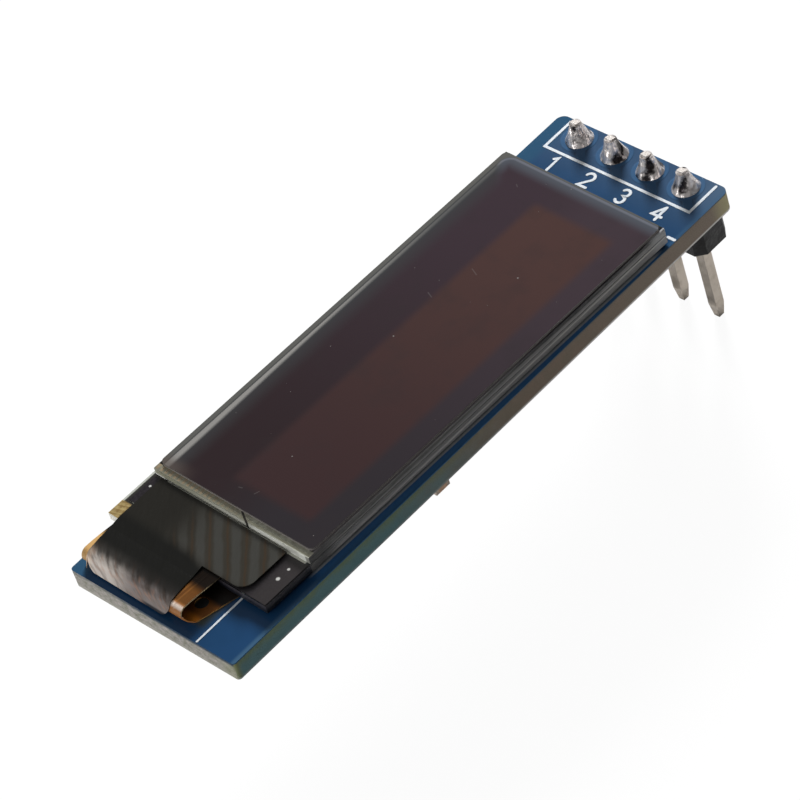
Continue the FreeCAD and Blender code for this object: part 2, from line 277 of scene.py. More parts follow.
def scaled(tone, factor):
    """A colour made lighter or darker."""
    return (*[v * factor for v in tone[:3]], 1.0)


def distance(x, y, middle_x, middle_y):
    """Distance from (x, y) to a point."""
    dx, dy = x - middle_x, y - middle_y
    return (dx * dx + dy * dy).math("SQRT")


def depth_inside(x, y, low, high, radius):
    """How far (x, y) lies inside a rectangle with rounded corners; below 0 outside it."""
    reach = [abs(v - (a + b) / 2) - ((b - a) / 2 - radius) for v, a, b in zip((x, y), low, high)]
    beyond = distance(reach[0].high(0.0), reach[1].high(0.0), 0.0, 0.0)
    return radius - beyond - reach[0].high(reach[1]).low(0.0)


def window(x, low, high, soft):
    """1 between two limits and 0 outside, with soft edges."""
    return x.ramp(low - soft, low + soft) * x.ramp(high - soft, high + soft, 1.0, 0.0)


def pulse(x, rise, fall):
    """1 between a rise and a fall, each given as the two ends of a soft edge."""
    return x.ramp(*rise) * x.ramp(*fall, 1.0, 0.0)


def repeat(x, pitch):
    """Place within each repeat of a pattern, from 0 to 1."""
    return (x / pitch).math("FRACT")


def segment_distance(x, y, start, end):
    """Distance from (x, y) to the straight line between two points."""
    run, rise = end[0] - start[0], end[1] - start[1]
    along = ((x - start[0]) * run + (y - start[1]) * rise) / (run * run + rise * rise)
    along = along.high(0.0).low(1.0)
    return distance(x - start[0], y - start[1], along * run, along * rise)


# Sizes and colours that a user may change


class ModuleColours(PropertyGroup):
    """Colours of the module's pieces, as linear values."""

    mask: FloatVectorProperty(
        name="Solder mask", description="Lacquer on the board", subtype="COLOR", size=4, min=0, max=1,
        default=rgb(27, 63, 101),
    )
    laminate: FloatVectorProperty(
        name="Laminate", description="Cut edge of the board", subtype="COLOR", size=4, min=0, max=1,
        default=rgb(162, 159, 150),
    )
    print_ink: FloatVectorProperty(
        name="Print", description="White print on the board", subtype="COLOR", size=4, min=0, max=1,
        default=rgb(222, 226, 230),
    )
    film: FloatVectorProperty(
        name="Front film", description="Film beside the dots", subtype="COLOR", size=4, min=0, max=1,
        default=rgb(50, 37, 45),
    )
    active: FloatVectorProperty(
        name="Dot matrix", description="Dots seen through the film", subtype="COLOR", size=4, min=0, max=1,
        default=rgb(66, 44, 41),
    )
    flex: FloatVectorProperty(
        name="Flexible circuit", description="Polyimide film", subtype="COLOR", size=4, min=0, max=1,
        default=rgb(102, 64, 24),
    )
    tape: FloatVectorProperty(
        name="Cover tape", description="Black tape on the ledge", subtype="COLOR", size=4, min=0, max=1,
        default=rgb(20, 20, 18),
    )
    pin: FloatVectorProperty(
        name="Pins", description="Tinned brass of the header pins", subtype="COLOR", size=4, min=0, max=1,
        default=rgb(212, 201, 188),
    )


class ModuleSizes(PropertyGroup):
    """Sizes of the pieces that are added to the solids."""

    line_width: FloatProperty(
        name="Line width", description="Width of the printed lines", default=0.17 * MM, min=0.05 * MM,
        unit="LENGTH", precision=5,
    )
    ink_height: FloatProperty(
        name="Ink height", description="Height of the print", default=0.015 * MM, min=0.001 * MM,
        unit="LENGTH", precision=6,
    )
    fillet_reach: FloatProperty(
        name="Fillet reach", description="Length of the solder fillets", default=0.22 * MM, min=0.02 * MM,
        unit="LENGTH", precision=5,
    )
    digit_height: FloatProperty(
        name="Digit height", description="Height of the pin numbers", default=1.02 * MM, min=0.2 * MM,
        unit="LENGTH", precision=5,
    )


class StageSettings(PropertyGroup):
    """Camera and light."""

    lens: FloatProperty(
        name="Lens", description="Focal length", default=202.76, min=20, unit="CAMERA",
        subtype="DISTANCE_CAMERA",
    )
    distance: FloatProperty(
        name="Distance", description="Camera to the aim point", default=0.22814, min=0.05, unit="LENGTH",
    )
    azimuth: FloatProperty(
        name="Azimuth", description="Turn about the upright axis", default=math.radians(-33.529),
        subtype="ANGLE", unit="ROTATION",
    )
    elevation: FloatProperty(
        name="Elevation", description="Camera's height as an angle", default=math.radians(43.698),
        subtype="ANGLE", unit="ROTATION",
    )
    roll: FloatProperty(
        name="Roll", description="Camera's turn about its own axis", default=math.radians(18.753),
        subtype="ANGLE", unit="ROTATION",
    )
    aim: FloatVectorProperty(
        name="Aim", description="Point at the middle of the picture", subtype="XYZ", unit="LENGTH",
        default=(-0.020142, -0.002037, 0.00497),
    )
    key_power: FloatProperty(
        name="Key light", description="Soft light behind the module", default=3.2, min=0, unit="POWER",
    )
    fill_power: FloatProperty(
        name="Fill light", description="Wide light on the left", default=0.42, min=0, unit="POWER",
    )
    surround: FloatProperty(
        name="Surround", description="Brightness of the pale room", default=0.28, min=0, max=1,
    )


# Finishes. Limits of ramps, windows and segments are millimetres along the board (x, y, z) or the
# panel (u, w, z), and tones are the 0 to 255 values that the screen shows.


def copper_mask(x, y):
    """Where copper lies under the lacquer: a ring and a short slanting track at each pin."""
    copper = x * 0
    for pin_y in PIN_Y:
        track_end = (PIN_ROW_X - TRACK_RUN, pin_y - TRACK_RUN)
        track = segment_distance(x, y, (PIN_ROW_X, pin_y), track_end)
        ring = distance(x, y, PIN_ROW_X, pin_y)
        for reach, size in ((track, TRACK_HALF_WIDTH), (ring, RING_RADIUS)):
            copper = copper.high(reach.ramp(size, size + COPPER_SOFT, 1.0, 0.0))
    return copper


def lacquer_tone(f, colours, x, y, here, copper, upward):
    """Blue lacquer, lighter at the long edges, with a painted sheen at the header, the glass's painted grey
    reflection beside the panel, and a painted reflection of the flexible circuit with painted shade under its
    loop.
    """
    panel_w = f.panel_place()[1]
    beside = window(panel_w, -0.5, 1.0, 0.2) * window(x, 6.5, 32.4, 0.5) * upward
    # Painted reflection of the flexible circuit, with painted shade, on the lacquer under its loop
    loop_reflection = window(x, 0.9, 3.3, 0.25) * window(y, 3.1, 6.4, 0.3) * upward
    brown = f.mix(x.ramp(1.2, 1.6), rgb(82, 60, 50), rgb(48, 44, 38))
    # Painted sheen that lightens the lacquer towards the header's far corner
    header_sheen = f.mix(x.ramp(35.0, 38.0) * y.ramp(3.0, 0.0), rgb(52, 76, 104), rgb(70, 92, 116))
    return f.layers(
        colours.mask,
        (f.noise(here, 0.35, 2.0).ramp(0.3, 0.7), rgb(23, 58, 92)),
        (x.ramp(33.0, 36.5), header_sheen),
        (y.ramp(0.35, 0.1) * x.ramp(4.5, 2.5, 0.45, 1.0), rgb(56, 88, 116)),
        (y.ramp(10.6, 11.4), rgb(40, 76, 104)),
        (beside * 0.8, rgb(50, 96, 144)),
        (beside * panel_w.ramp(-0.16, -0.06), rgb(160, 164, 168)),
        (copper * 0.3, rgb(60, 104, 146)),
        (loop_reflection * 0.9, f.mix(y.ramp(3.6, 4.2), rgb(57, 62, 56), brown)),
    )


def cut_tone(f, colours, y, z, here, fibre, grain):
    """Bare laminate on the short edges and the left-hand one: mottled fibre, bluish under the lacquer."""
    blotch = f.noise(f.stretch(here, (1.0, 1.0, 1.6)), 2.3, 3.0, 0.7)
    return f.layers(
        colours.laminate,
        (fibre.ramp(0.35, 0.65), rgb(186, 182, 176)),
        (blotch.ramp(0.5, 0.6) * 0.6, rgb(126, 128, 108)),
        (blotch.ramp(0.45, 0.36) * 0.55, rgb(210, 198, 196)),
        (grain.ramp(0.52, 0.7) * 0.7, rgb(126, 121, 112)),
        (z.ramp(-0.85, -1.1) * 0.6, rgb(188, 186, 176)),
        (y.ramp(1.6, 0.0) * 0.6, rgb(168, 170, 142)),
        (z.ramp(-0.3, -0.08) * y.ramp(6.0, 10.0, 1.0, 0.4), rgb(62, 80, 98)),
    )


def long_cut_tone(f, x, z, here, grain):
    """Right-hand long edge: teal at the near end where a cool reflection is painted, olive and brown beyond,
    with a painted highlight along its foot.
    """
    patch = f.noise(here, 0.8, 4.0, 0.65)
    # Teal: a painted cool reflection on the laminate
    teal = f.mix((patch - z).ramp(0.6, 1.2), rgb(128, 150, 124), rgb(114, 152, 156))
    olive = f.mix(patch.ramp(0.35, 0.65), rgb(162, 142, 126), rgb(150, 138, 122))
    # Painted highlight along the lower edge
    foot = f.mix(x.ramp(17.0, 24.0), rgb(186, 190, 192), rgb(250, 248, 244))
    rim = f.mix(x.ramp(16.0, 28.0), rgb(60, 104, 146), rgb(104, 110, 116))
    return f.layers(
        teal,
        ((x + patch * 8).ramp(14.0, 26.0), olive),
        (x.ramp(22.0, 34.0), rgb(160, 146, 132)),
        (grain.ramp(0.4, 0.7) * 0.3, rgb(96, 92, 84)),
        (x.ramp(36.2, 37.6) * 0.8, rgb(210, 202, 158)),
        (x.ramp(0.45, 0.1) * 0.7, rgb(150, 150, 96)),
        (z.ramp(-1.04, -1.14) * x.ramp(14.0, 20.0, 0.6, 0.9), foot),
        (z.ramp(-0.1, -0.04), rim),
    )


def board_finish(colours):
    """Blue lacquer with copper under it on the faces, bare glass-fibre laminate on the edges."""
    f = Finish("board")
    x, y, z, here = f.board_place()
    _, ny, nz = f.normal()
    face = abs(nz).ramp(0.5, 0.7)
    copper = copper_mask(x, y)
    fibre = f.noise(f.stretch(here, (1.0, 0.35, 2.2)), 5.0, 6.0, 0.7)
    grain = f.noise(here, 14.0, 3.0, 0.6)
    base = f.layers(
        cut_tone(f, colours, y, z, here, fibre, grain),
        ((-ny).ramp(0.4, 0.8), long_cut_tone(f, x, z, here, grain)),
        (face, lacquer_tone(f, colours, x, y, here, copper, nz.ramp(0.5, 0.7))),
    )
    height = copper * face + fibre * (1 - face) * 2
    rough = face.ramp(0.0, 1.0, 0.8, 0.26)
    normal = f.bump(height, 0.02)
    return f.done(f.surface(Base_Color=base, Roughness=rough, Specular_IOR_Level=0.2, Normal=normal))


def print_finish(colours):
    """White ink, a little uneven."""
    f = Finish("print_ink")
    *_, here = f.board_place()
    base = f.mix(f.noise(here, 6.0).ramp(0.4, 0.75), colours.print_ink, rgb(196, 206, 216))
    return f.done(f.surface(Base_Color=base, Roughness=0.55, Normal=f.bump(f.noise(here, 20.0), 0.004)))


def moulded_finish(name, tone, grain_scale, gloss):
    """Moulded black plastic with a fine grain, shallow dents and faint flow marks."""
    f = Finish(name)
    *_, here = f.board_place()
    grain = f.noise(here, grain_scale, 4.0, 0.65)
    dents = f.noise(here, 1.7, 2.0)
    flow = f.noise(f.stretch(here, (1.0, 1.0, 0.3)), 1.2, 2.0)
    base = f.mix(flow.ramp(0.35, 0.7), tone, scaled(tone, 1.6))
    rough = grain.ramp(0.3, 0.7, gloss, gloss + 0.2)
    normal = f.bump(dents, 0.12, f.bump(grain, 0.008))
    return f.done(f.surface(Base_Color=base, Roughness=rough, Normal=normal))


def pin_finish(colours):
    """Tinned pin: drawn lines along it and dull patches, whiter at its snipped end, duller at its tip."""
    f = Finish("pin_metal")
    *_, z, here = f.board_place()
    drawn = f.noise(f.stretch(here, (1.0, 1.0, 0.06)), 14.0, 4.0, 0.6)
    patch = f.noise(here, 1.6, 3.0)
    upper = z.ramp(0.0, 0.4)
    tip = z.ramp(PIN_FOOT_Z + 0.9, PIN_FOOT_Z + 0.6)
    base = f.layers(
        colours.pin,
        (patch.ramp(0.4, 0.75) * 0.6, rgb(176, 164, 148)),
        (upper * drawn.ramp(0.3, 0.6), rgb(252, 246, 242)),
    )
    rough = drawn.ramp(0.3, 0.7, 0.28, 0.46).high(tip * 0.6)
    metal = 1 - upper.high(tip) * 0.6
    return f.done(f.surface(Base_Color=base, Metallic=metal, Roughness=rough, Normal=f.bump(drawn, 0.006)))


def solder_finish():
    """Bright solder with slow waves, painted with pinkish highlights where it is bright and near-black shade
    in its hollows.
    """
    f = Finish("solder")
    *_, here = f.board_place()
    wave = f.noise(f.stretch(here, (1.0, 1.0, 0.5)), 1.7, 1.0, 0.4)
    fine = f.noise(here, 5.0, 3.0, 0.6)
    # Painted highlights and shade in the base colour, laid out by the waves
    base = f.mix((wave + fine * 0.4).ramp(0.5, 0.72), rgb(46, 40, 42), rgb(255, 247, 244))
    rough = fine.ramp(0.3, 0.8, 0.12, 0.26)
    normal = f.bump(wave, 0.5, f.bump(fine, 0.03))
    return f.done(f.surface(Base_Color=base, Metallic=0.6, Roughness=rough, Normal=normal))


def glass_side_tone(f, u, z, ny, here):
    """Long sides of the plates: grey layers with a bright band of painted light and a dim band of painted
    shade that rise slowly along the panel, and a painted highlight at the far end.
    """
    streak = f.noise(f.stretch(here, (0.25, 1.0, 6.0)), 3.0, 4.0, 0.6)
    greys = [
        (z.ramp(height - 0.05, height + 0.05), rgb(grey, grey - 1, grey - 3))
        for height, grey in ((0.42, 140), (0.6, 160), (0.76, 136), (0.9, 116), (1.02, 142))
    ]
    # Painted light: a bright band along the lower plate
    bright = window(z - u * 0.0133, 0.11, 0.2, 0.04) * (z < SEAM_Z)
    # Painted shade: a dim band along the upper plate, near black beyond its middle
    dim = window(z - u * 0.0175, u.ramp(17.0, 25.0, 0.63, 0.44), 0.75, 0.04)
    dim = dim * u.ramp(4.0, 6.0) * (z > SEAM_Z)
    return f.layers(
        rgb(180, 178, 176),
        (u.ramp(13.0, 19.0), rgb(154, 152, 150)),
        *greys,
        (bright * 0.8, rgb(226, 222, 216)),
        (dim * 0.9, f.mix(u.ramp(15.0, 19.5), rgb(98, 96, 94), rgb(28, 25, 27))),
        (u.ramp(5.4, 4.0) * 0.8, rgb(90, 88, 85)),
        # Painted highlight at the far corner
        (u.ramp(28.6, 29.4) * 0.6, rgb(204, 205, 206)),
        (streak.ramp(0.5, 0.7) * 0.35, rgb(206, 203, 196)),
        (streak.ramp(0.5, 0.3) * 0.35, rgb(86, 86, 86)),
        (ny.ramp(0.3, 0.6) * 0.6, rgb(112, 114, 111)),
    )


def glass_near_tone(f, w, z, chips):
    """Near face of the upper plate: painted light, nearly white on the right where light falls through the
    glass and olive-grey on the left, with small chips.
    """
    return f.layers(
        rgb(246, 247, 238),
        (w.ramp(3.9, 4.5), rgb(208, 208, 196)),
        (w.ramp(5.5, 10.5), rgb(168, 167, 144)),
        (window(w, 0.8, 1.9, 0.15) * 0.6, rgb(196, 196, 186)),
        (chips.ramp(0.5, 0.75) * 0.35, rgb(150, 152, 138)),
        (z.ramp(0.98, 1.06) * w.ramp(3.6, 4.6) * 0.5, rgb(120, 118, 102)),
        # Painted light along the foot, against the shade that the tape casts there
        (z.ramp(0.82, 0.7) * w.ramp(0.8, 1.2), rgb(255, 255, 246)),
        (w.ramp(0.34, 0.2) * 0.8, rgb(112, 112, 104)),
    )


def glass_rim_tone(f, u, w, here):
    """Upper plate's face beside the film: small squares in the strip at the near end, a painted highlight
    along the near edge, grey on the right.
    """
    squares = pulse(repeat(w, 0.33), (0.1, 0.2), (0.6, 0.7))
    # Painted highlight along the plate's near top edge
    highlight_line = f.mix(w.ramp(0.8, 4.5), rgb(176, 177, 166), rgb(112, 111, 98))
    right = f.mix(u.ramp(17.0, 22.0), rgb(114, 110, 112), rgb(52, 50, 52))
    return f.layers(
        rgb(162, 162, 146),
        (w.ramp(4.0, 6.5), rgb(142, 139, 120)),
        (u.ramp(3.5, 3.38), rgb(116, 115, 100)),
        (f.noise(here, 5.0, 3.0).ramp(0.35, 0.65) * 0.5, rgb(96, 92, 78)),
        (squares * w.ramp(4.0, 9.0) * 0.5, rgb(152, 128, 98)),
        (u.ramp(LEDGE_END + 0.07, LEDGE_END + 0.03), highlight_line),
        (u > FILM_NEAR, f.mix(u.ramp(28.4, 29.2), right, rgb(160, 160, 162))),
    )


def glass_lining_tone(f, u, w, here, gap):
    """What the lower plate's rims show: a dark lining, gold pads at the near left corner and painted light in
    the gap before the upper plate.
    """
    mottle = f.noise(here, 4.0, 2.0) + (u / 0.3 + w).math("FRACT") * 0.3
    return f.layers(
        rgb(40, 39, 36),
        (w.ramp(11.58, 11.66), rgb(176, 178, 170)),
        (u.ramp(1.1, 1.0), f.mix(mottle.ramp(0.4, 0.9), rgb(166, 147, 100), rgb(124, 102, 60))),
        (w < 1.0, rgb(44, 44, 46)),
        # Painted light in the gap below the upper plate's lit near face
        (gap * window(w, 0.3, 10.6, 0.05), rgb(214, 215, 204)),
    )


def glass_finish(name):
    """Plate glass: clear where nothing lies behind it, with ground, streaky edges that show it in layers."""
    f = Finish(name)
    u, w, z, here = f.panel_place()
    nx, ny, nz = f.normal()
    edge = abs(nz).ramp(0.4, 0.6, 1.0, 0.0)
    on_side = abs(ny).ramp(0.5, 0.9)
    chips = f.noise(f.stretch(here, (1.0, 1.0, 3.0)), 2.4, 5.0, 0.7)
    # Painted shade: the lower plate by the ledge is dark with the shade and the black mask behind it
    dark = f.mix(chips.ramp(0.4, 0.7), rgb(18, 20, 30), rgb(36, 37, 47))
    dark = f.mix(z.ramp(0.32, 0.45), dark, rgb(64, 61, 67))
    ledge = u.ramp(LEDGE_END - 0.06, LEDGE_END - 0.02, 1.0, 0.0)
    gap = window(u, 2.99, LEDGE_END + 0.1, 0.02)
    pads = u.ramp(1.25, 1.15) * w.ramp(10.9, 10.95)
    on_upper = (1 - edge) * (z > CAP_INSIDE_Z) * (w < 0.1).high(u < FILM_NEAR)
    on_lower = (1 - edge) * (z < CAP_INSIDE_Z) * w.ramp(11.34, 11.4).high(pads).high(w < 0.22).high(gap)
    hair = segment_distance(u, w, (3.64, 5.23), (3.38, 4.8))
    hair = hair.low(segment_distance(u, w, (3.38, 4.8), (3.24, 4.5)))
    # The lower plate's near face takes the painted shade
    near = f.layers(
        glass_near_tone(f, w, z, chips),
        (ledge * w.ramp(10.8, 11.0, 1.0, 0.0), dark),
        (nx.ramp(0.0, 0.5), rgb(152, 152, 149)),
    )
    # The lower plate's sides by the ledge take the painted shade
    side = f.mix(ledge * z.ramp(0.22, 0.4, 1.0, 0.85), glass_side_tone(f, u, z, ny, here), dark)
    ground = f.layers(
        near,
        (on_side, side),
        (on_upper, glass_rim_tone(f, u, w, here)),
        (on_lower, glass_lining_tone(f, u, w, here, gap)),
        (hair.ramp(0.04, 0.07, 1.0, 0.0) * (z > SEAM_Z), rgb(34, 30, 26)),
    )
    normal = f.bump(chips * edge, 0.06)
    clear = f.surface(
        Base_Color=rgb(206, 212, 196), Roughness=0.02, Transmission_Weight=1.0, IOR=1.5, Normal=normal,
    )
    frosted = f.surface(Base_Color=ground, Roughness=0.35, Normal=normal)
    cover = (edge * (on_side * -0.15 + 1)).high(on_upper).high(on_lower)
    return f.done(f.add("ShaderNodeMixShader", inputs=[cover, clear, frosted]))


def seal_finish():
    """Cured resin with tiny bubbles."""
    f = Finish("resin")
    *_, here = f.panel_place()
    bubble = f.cells(here, 3.0).ramp(0.1, 0.2, 1.0, 0.0)
    base = f.mix(bubble, rgb(176, 178, 164), rgb(214, 214, 204))
    return f.done(f.surface(Base_Color=base, Roughness=0.25, Normal=f.bump(bubble, 0.01)))


def film_dust(f, u, w, here):
    """Sparse dust in three sizes and a few short hairs."""
    dust = f.specks(here, 0.9, 0.16, 0.05).high(f.specks(here, 2.3, 0.04, 0.07))
    dust = dust.high(f.specks(here, 1.7, 0.12, 0.04) * 0.5)
    for start, end in FILM_HAIRS:
        hair = segment_distance(u, w, start, end)
        dust = dust.high(hair.ramp(0.01, 0.045, 0.28, 0.0))
    return dust


def film_finish(colours):
    """Dark polarizing film: the dot matrix shows through it, a pale rim runs round it, and painted highlight
    lines run along its edges.
    """
    f = Finish("polarizer")
    u, w, z, here = f.panel_place()
    _, _, nz = f.normal()
    along = u.ramp(5.0, 28.0)
    right = f.mix(along, rgb(36, 31, 36), rgb(55, 43, 50))
    left = f.mix(along, rgb(35, 21, 25), colours.film)
    dots = repeat(u, DOT_PITCH).ramp(0.0, 0.2) * repeat(w, DOT_PITCH).ramp(0.0, 0.2)
    matrix = f.mix(along, rgb(48, 29, 31), colours.active)
    matrix = f.mix(dots * 0.05, matrix, rgb(78, 54, 50))
    depth = depth_inside(u, w, (2.0, -2.0), (29.8, 11.1), 0.7)
    far = (u - 18.8).ramp(0.0, 1.0) * (u - w - 18.0).ramp(-0.5, 0.5)
    haze = depth.ramp(0.15, 1.0, 1.0, 0.0).high(depth.ramp(0.3, 1.6, 0.7, 0.0) * (1 - far))
    reach = depth - u.ramp(5.0, 16.0, 0.16, 0.0)
    # Painted highlight lines along the film's left and far edges, the left one fading towards the far end
    edge_glint = depth.ramp(0.02, 0.1) * reach.ramp(0.12, 0.36, 1.0, 0.0)
    highlight_line = edge_glint * u.ramp(13.0, 26.0, 1.0, 0.25) * (1 - far)
    far_glint = pulse(depth, (0.0, 0.04), (0.1, 0.22)) * far
    cut = f.mix(z.ramp(1.16, 1.22), rgb(144, 138, 136), rgb(102, 98, 96))
    dust = film_dust(f, u, w, here)
    base = f.layers(
        f.mix(w.ramp(3.0, 8.0), right, left),
        (window(u, *FIELD_U, 0.35) * window(w, *FIELD_W, 0.35), matrix),
        (f.noise(here, 0.45, 3.0, 0.6).ramp(0.45, 0.75) * 0.25, rgb(40, 34, 36)),
        (haze, f.mix(far, rgb(50, 52, 54), rgb(70, 74, 82))),
        (highlight_line.high(far_glint), f.mix(far, rgb(134, 132, 129), rgb(96, 99, 108))),
        (depth.ramp(-0.06, 0.04, 1.0, 0.0), rgb(84, 84, 81)),
        (w.ramp(8.6, 11.0) * u.ramp(4.6, 3.7) * 0.7, rgb(82, 72, 66)),
        (abs(nz).ramp(0.4, 0.6, 1.0, 0.0), cut),
        (dust * 0.5, rgb(140, 136, 134)),
    )
    smear = f.noise(f.stretch(here, (0.4, 1.0, 1.0)), 0.5, 4.0)
    rough = smear.ramp(0.35, 0.7, 0.1, 0.16)
    return f.done(f.surface(Base_Color=base, Roughness=rough, Normal=f.bump(dust, 0.01)))


def emitter_finish():
    """Dot matrix: brown-red dots between darker rows."""
    f = Finish("emitter")
    u, w, *_ = f.panel_place()
    dots = repeat(u, DOT_PITCH).ramp(0.1, 0.3) * repeat(w, DOT_PITCH).ramp(0.1, 0.3)
    base = f.mix(dots, rgb(30, 20, 20), rgb(96, 60, 50))
    return f.done(f.surface(Base_Color=base, Roughness=0.35))


def bonding_tape_finish():
    """Dark double-sided tape with a woven print of its carrier."""
    f = Finish("bonding_tape")
    *_, here = f.panel_place()
    weave = f.noise(f.stretch(here, (3.0, 1.0, 1.0)), 3.0, 2.0)
    base = f.mix(weave.ramp(0.4, 0.6), rgb(24, 24, 26), rgb(40, 40, 42))
    return f.done(f.surface(Base_Color=base, Roughness=0.6, Normal=f.bump(weave, 0.01)))


def flex_finish(colours):
    """Orange polyimide over copper lines, with a painted highlight on the bend and along its cut edge, and
    painted shade, nearly black, in the fold and on its upper part between the tape and the glass.
    """
    f = Finish("flex")
    u, w, z, here = f.panel_place()
    _, ny, nz = f.normal()
    lines = pulse(repeat(w, COPPER_LINE_PITCH), (0.35, 0.45), (0.9, 1.0)) * window(w, 3.9, 10.3, 0.05)
    cloud = f.noise(here, 0.9, 3.0)
    high = z.ramp(0.35, 0.55)
    # Painted shade inside the loop: orange by the bend, nearly black further in
    shaded_inner = f.mix(u.ramp(-2.3, -1.9), rgb(168, 100, 26), rgb(108, 64, 22))
    shaded_inner = f.mix(u.ramp(-1.3, -0.8), shaded_inner, rgb(18, 11, 6))
    # Painted highlight on the cut edge, with painted shade further in
    cut = f.mix(high, rgb(214, 162, 96), rgb(255, 228, 178))
    cut = f.mix(u.ramp(-1.0, -0.3), cut, rgb(104, 90, 72))
    base = f.layers(
        colours.flex,
        (cloud.ramp(0.3, 0.7), rgb(92, 54, 18)),
        (lines * 0.3, rgb(150, 100, 48)),
        # Painted light towards the bend and a painted highlight on it
        (u.ramp(-2.2, -2.5), rgb(168, 112, 62)),
        (u.ramp(-2.35, -2.55) * nz.ramp(0.6, 0.9), rgb(240, 222, 208)),
        (w.ramp(10.2, 10.5), rgb(196, 156, 100)),
        # Painted shade on the upper part between the tape and the glass
        (u.ramp(-1.5, -0.8) * high, rgb(16, 8, 3)),
        ((1 - high) * nz.ramp(0.0, 0.3), shaded_inner),
        (abs(ny).ramp(0.7, 0.9), cut),
    )
    glossy = high * u.ramp(-1.2, -1.8)
    return f.done(f.surface(
        Base_Color=base, Roughness=glossy * -0.2 + 0.5, Specular_IOR_Level=0.25,
        Normal=f.bump(lines + cloud, 0.01), Coat_Weight=glossy * 0.2, Coat_Roughness=0.1,
    ))


def driver_finish():
    """Polished chip with a faint grid."""
    f = Finish("silicon")
    *_, here = f.panel_place()
    grid = f.noise(f.stretch(here, (8.0, 1.0, 1.0)), 2.0, 1.0)
    base = f.mix(grid.ramp(0.45, 0.55), rgb(70, 72, 80), rgb(96, 98, 108))
    return f.done(f.surface(Base_Color=base, Roughness=0.2, Metallic=0.4))


def mask_finish():
    """Matt black sheet, slightly purple, with a few pale specks."""
    f = Finish("black_mask")
    u, w, _, here = f.panel_place()
    grain = f.noise(here, 8.0, 4.0)
    specks = [
        (distance(u, w, speck_u, speck_w).ramp(size * 0.4, size, 0.9, 0.0), rgb(200, 200, 196))
        for speck_u, speck_w, size in MASK_SPECKS
    ]
    base = f.layers(
        rgb(28, 24, 28),
        (grain.ramp(0.4, 0.7), rgb(40, 36, 40)),
        (w.ramp(1.6, 0.8) * 0.7, rgb(52, 48, 48)),
        *specks,
    )
    return f.done(f.surface(Base_Color=base, Roughness=0.5, Normal=f.bump(grain, 0.01)))


def cover_tape_finish(colours):
    """Black tape: faint slanting bands on the flat, and a painted sheen, soft and pale, with leaning creases
    on the turn, darkened by painted shade at the flap's right foot.
    """
    f = Finish("black_tape")
    u, w, z, here = f.panel_place()
    slant = (u * 0.7 - w * 0.714) / BAND_PITCH
    band = (slant + f.noise(here, 0.6, 2.0) * 0.35).math("FRACT")
    flat = w.ramp(8.7, 5.2, 0.3, 1.0) * (u - w.ramp(4.0, 6.0) * 0.35).ramp(-0.4, 0.4)
    banded = flat * w.ramp(8.2, 6.8)
    # Grows steadily over the flat, round the turn and down the flap
    fold = -u - z
    lean = f.add("ShaderNodeCombineXYZ", inputs=[w + fold * 0.9, fold * 0.45, 0.0])
    streak = f.noise(lean, 1.7, 3.0, 0.55)
    fine = f.noise(lean, 3.6, 2.0, 0.5)
    # Painted sheen on the turn and down the flap
    painted_sheen = f.layers(
        rgb(140, 131, 128),
        (w.ramp(6.7, 8.9), rgb(224, 214, 205)),
        (w.ramp(9.8, 10.6), rgb(250, 222, 194)),
        (streak.ramp(0.45, 0.66) * 0.6, rgb(118, 102, 92)),
        (fine.ramp(0.5, 0.68) * 0.35, rgb(190, 140, 110)),
        # Painted shade at the right foot of the flap
        (z.ramp(0.34, 0.22) * w.ramp(6.6, 5.6), rgb(34, 34, 42)),
    )
    border = (fold - (streak - 0.5) * 0.7).ramp(0.93, 2.05)
    base = f.layers(
        colours.tape,
        (flat, rgb(50, 47, 41)),
        (pulse(band, (0.25, 0.45), (0.75, 0.95)) * banded * 0.8, rgb(60, 60, 57)),
        (pulse(band, (0.02, 0.12), (0.14, 0.26)) * banded * 0.5, rgb(60, 44, 28)),
        (border * border + fold.ramp(0.5, 1.3, 0.0, 0.04), painted_sheen),
    )
    normal = f.bump(streak + fine * 0.3, 0.03)
    rough = streak.ramp(0.3, 0.7, 0.38, 0.5)
    return f.done(f.surface(Base_Color=base, Roughness=rough, Specular_IOR_Level=0.25, Normal=normal))


def long_axis(low, high):
    """Whether a box is longer in x (0) or in y (1)."""
    return 0 if high[0] - low[0] > high[1] - low[1] else 1


def chip_finish(node, body):
    """Chip part: coloured middle and tinned ends, found from the distance to the middle of its box."""
    low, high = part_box(node)
    axis = long_axis(low, high)
    f = Finish(f"{node}_finish")
    x, y, _, here = f.place((low + high) / 2)
    along = abs((x, y)[axis])
    half_body = CHIP_BODY_SHARE * (high - low)[axis] / MM / 2
    end = along.ramp(half_body - 0.02, half_body + 0.02)
    grain = f.noise(here, 7.0, 3.0)
    base = f.mix(grain.ramp(0.35, 0.7), body, scaled(body, 0.8))
    base = f.mix(end, base, rgb(236, 218, 200))
    rough = end.ramp(0.0, 1.0, 0.5, 0.32)
    return f.done(f.surface(Base_Color=base, Metallic=end * 0.3, Roughness=rough, Normal=f.bump(grain, 0.01)))


def lead_finish():
    """Tinned lead of the regulator."""
    f = Finish("lead_metal")
    *_, here = f.board_place()
    grain = f.noise(here, 12.0, 3.0)
    base = f.mix(grain, rgb(190, 190, 192), rgb(214, 212, 210))
    return f.done(f.surface(Base_Color=base, Metallic=1.0, Roughness=0.32, Normal=f.bump(grain, 0.01)))


# Pieces


def coat(material, *nodes):
    """Gives CAD nodes a finish."""
    for name in nodes:
        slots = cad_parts[name].data.materials
        slots.clear()
        slots.append(material)


def numbered(stem, count):
    """Names of like nodes."""
    return [f"{stem}_{i}" for i in range(1, count + 1)]


CAPACITORS, RESISTORS = numbered("capacitor", 8), numbered("resistor", 4)
LEADS = numbered("regulator_lead", 3)


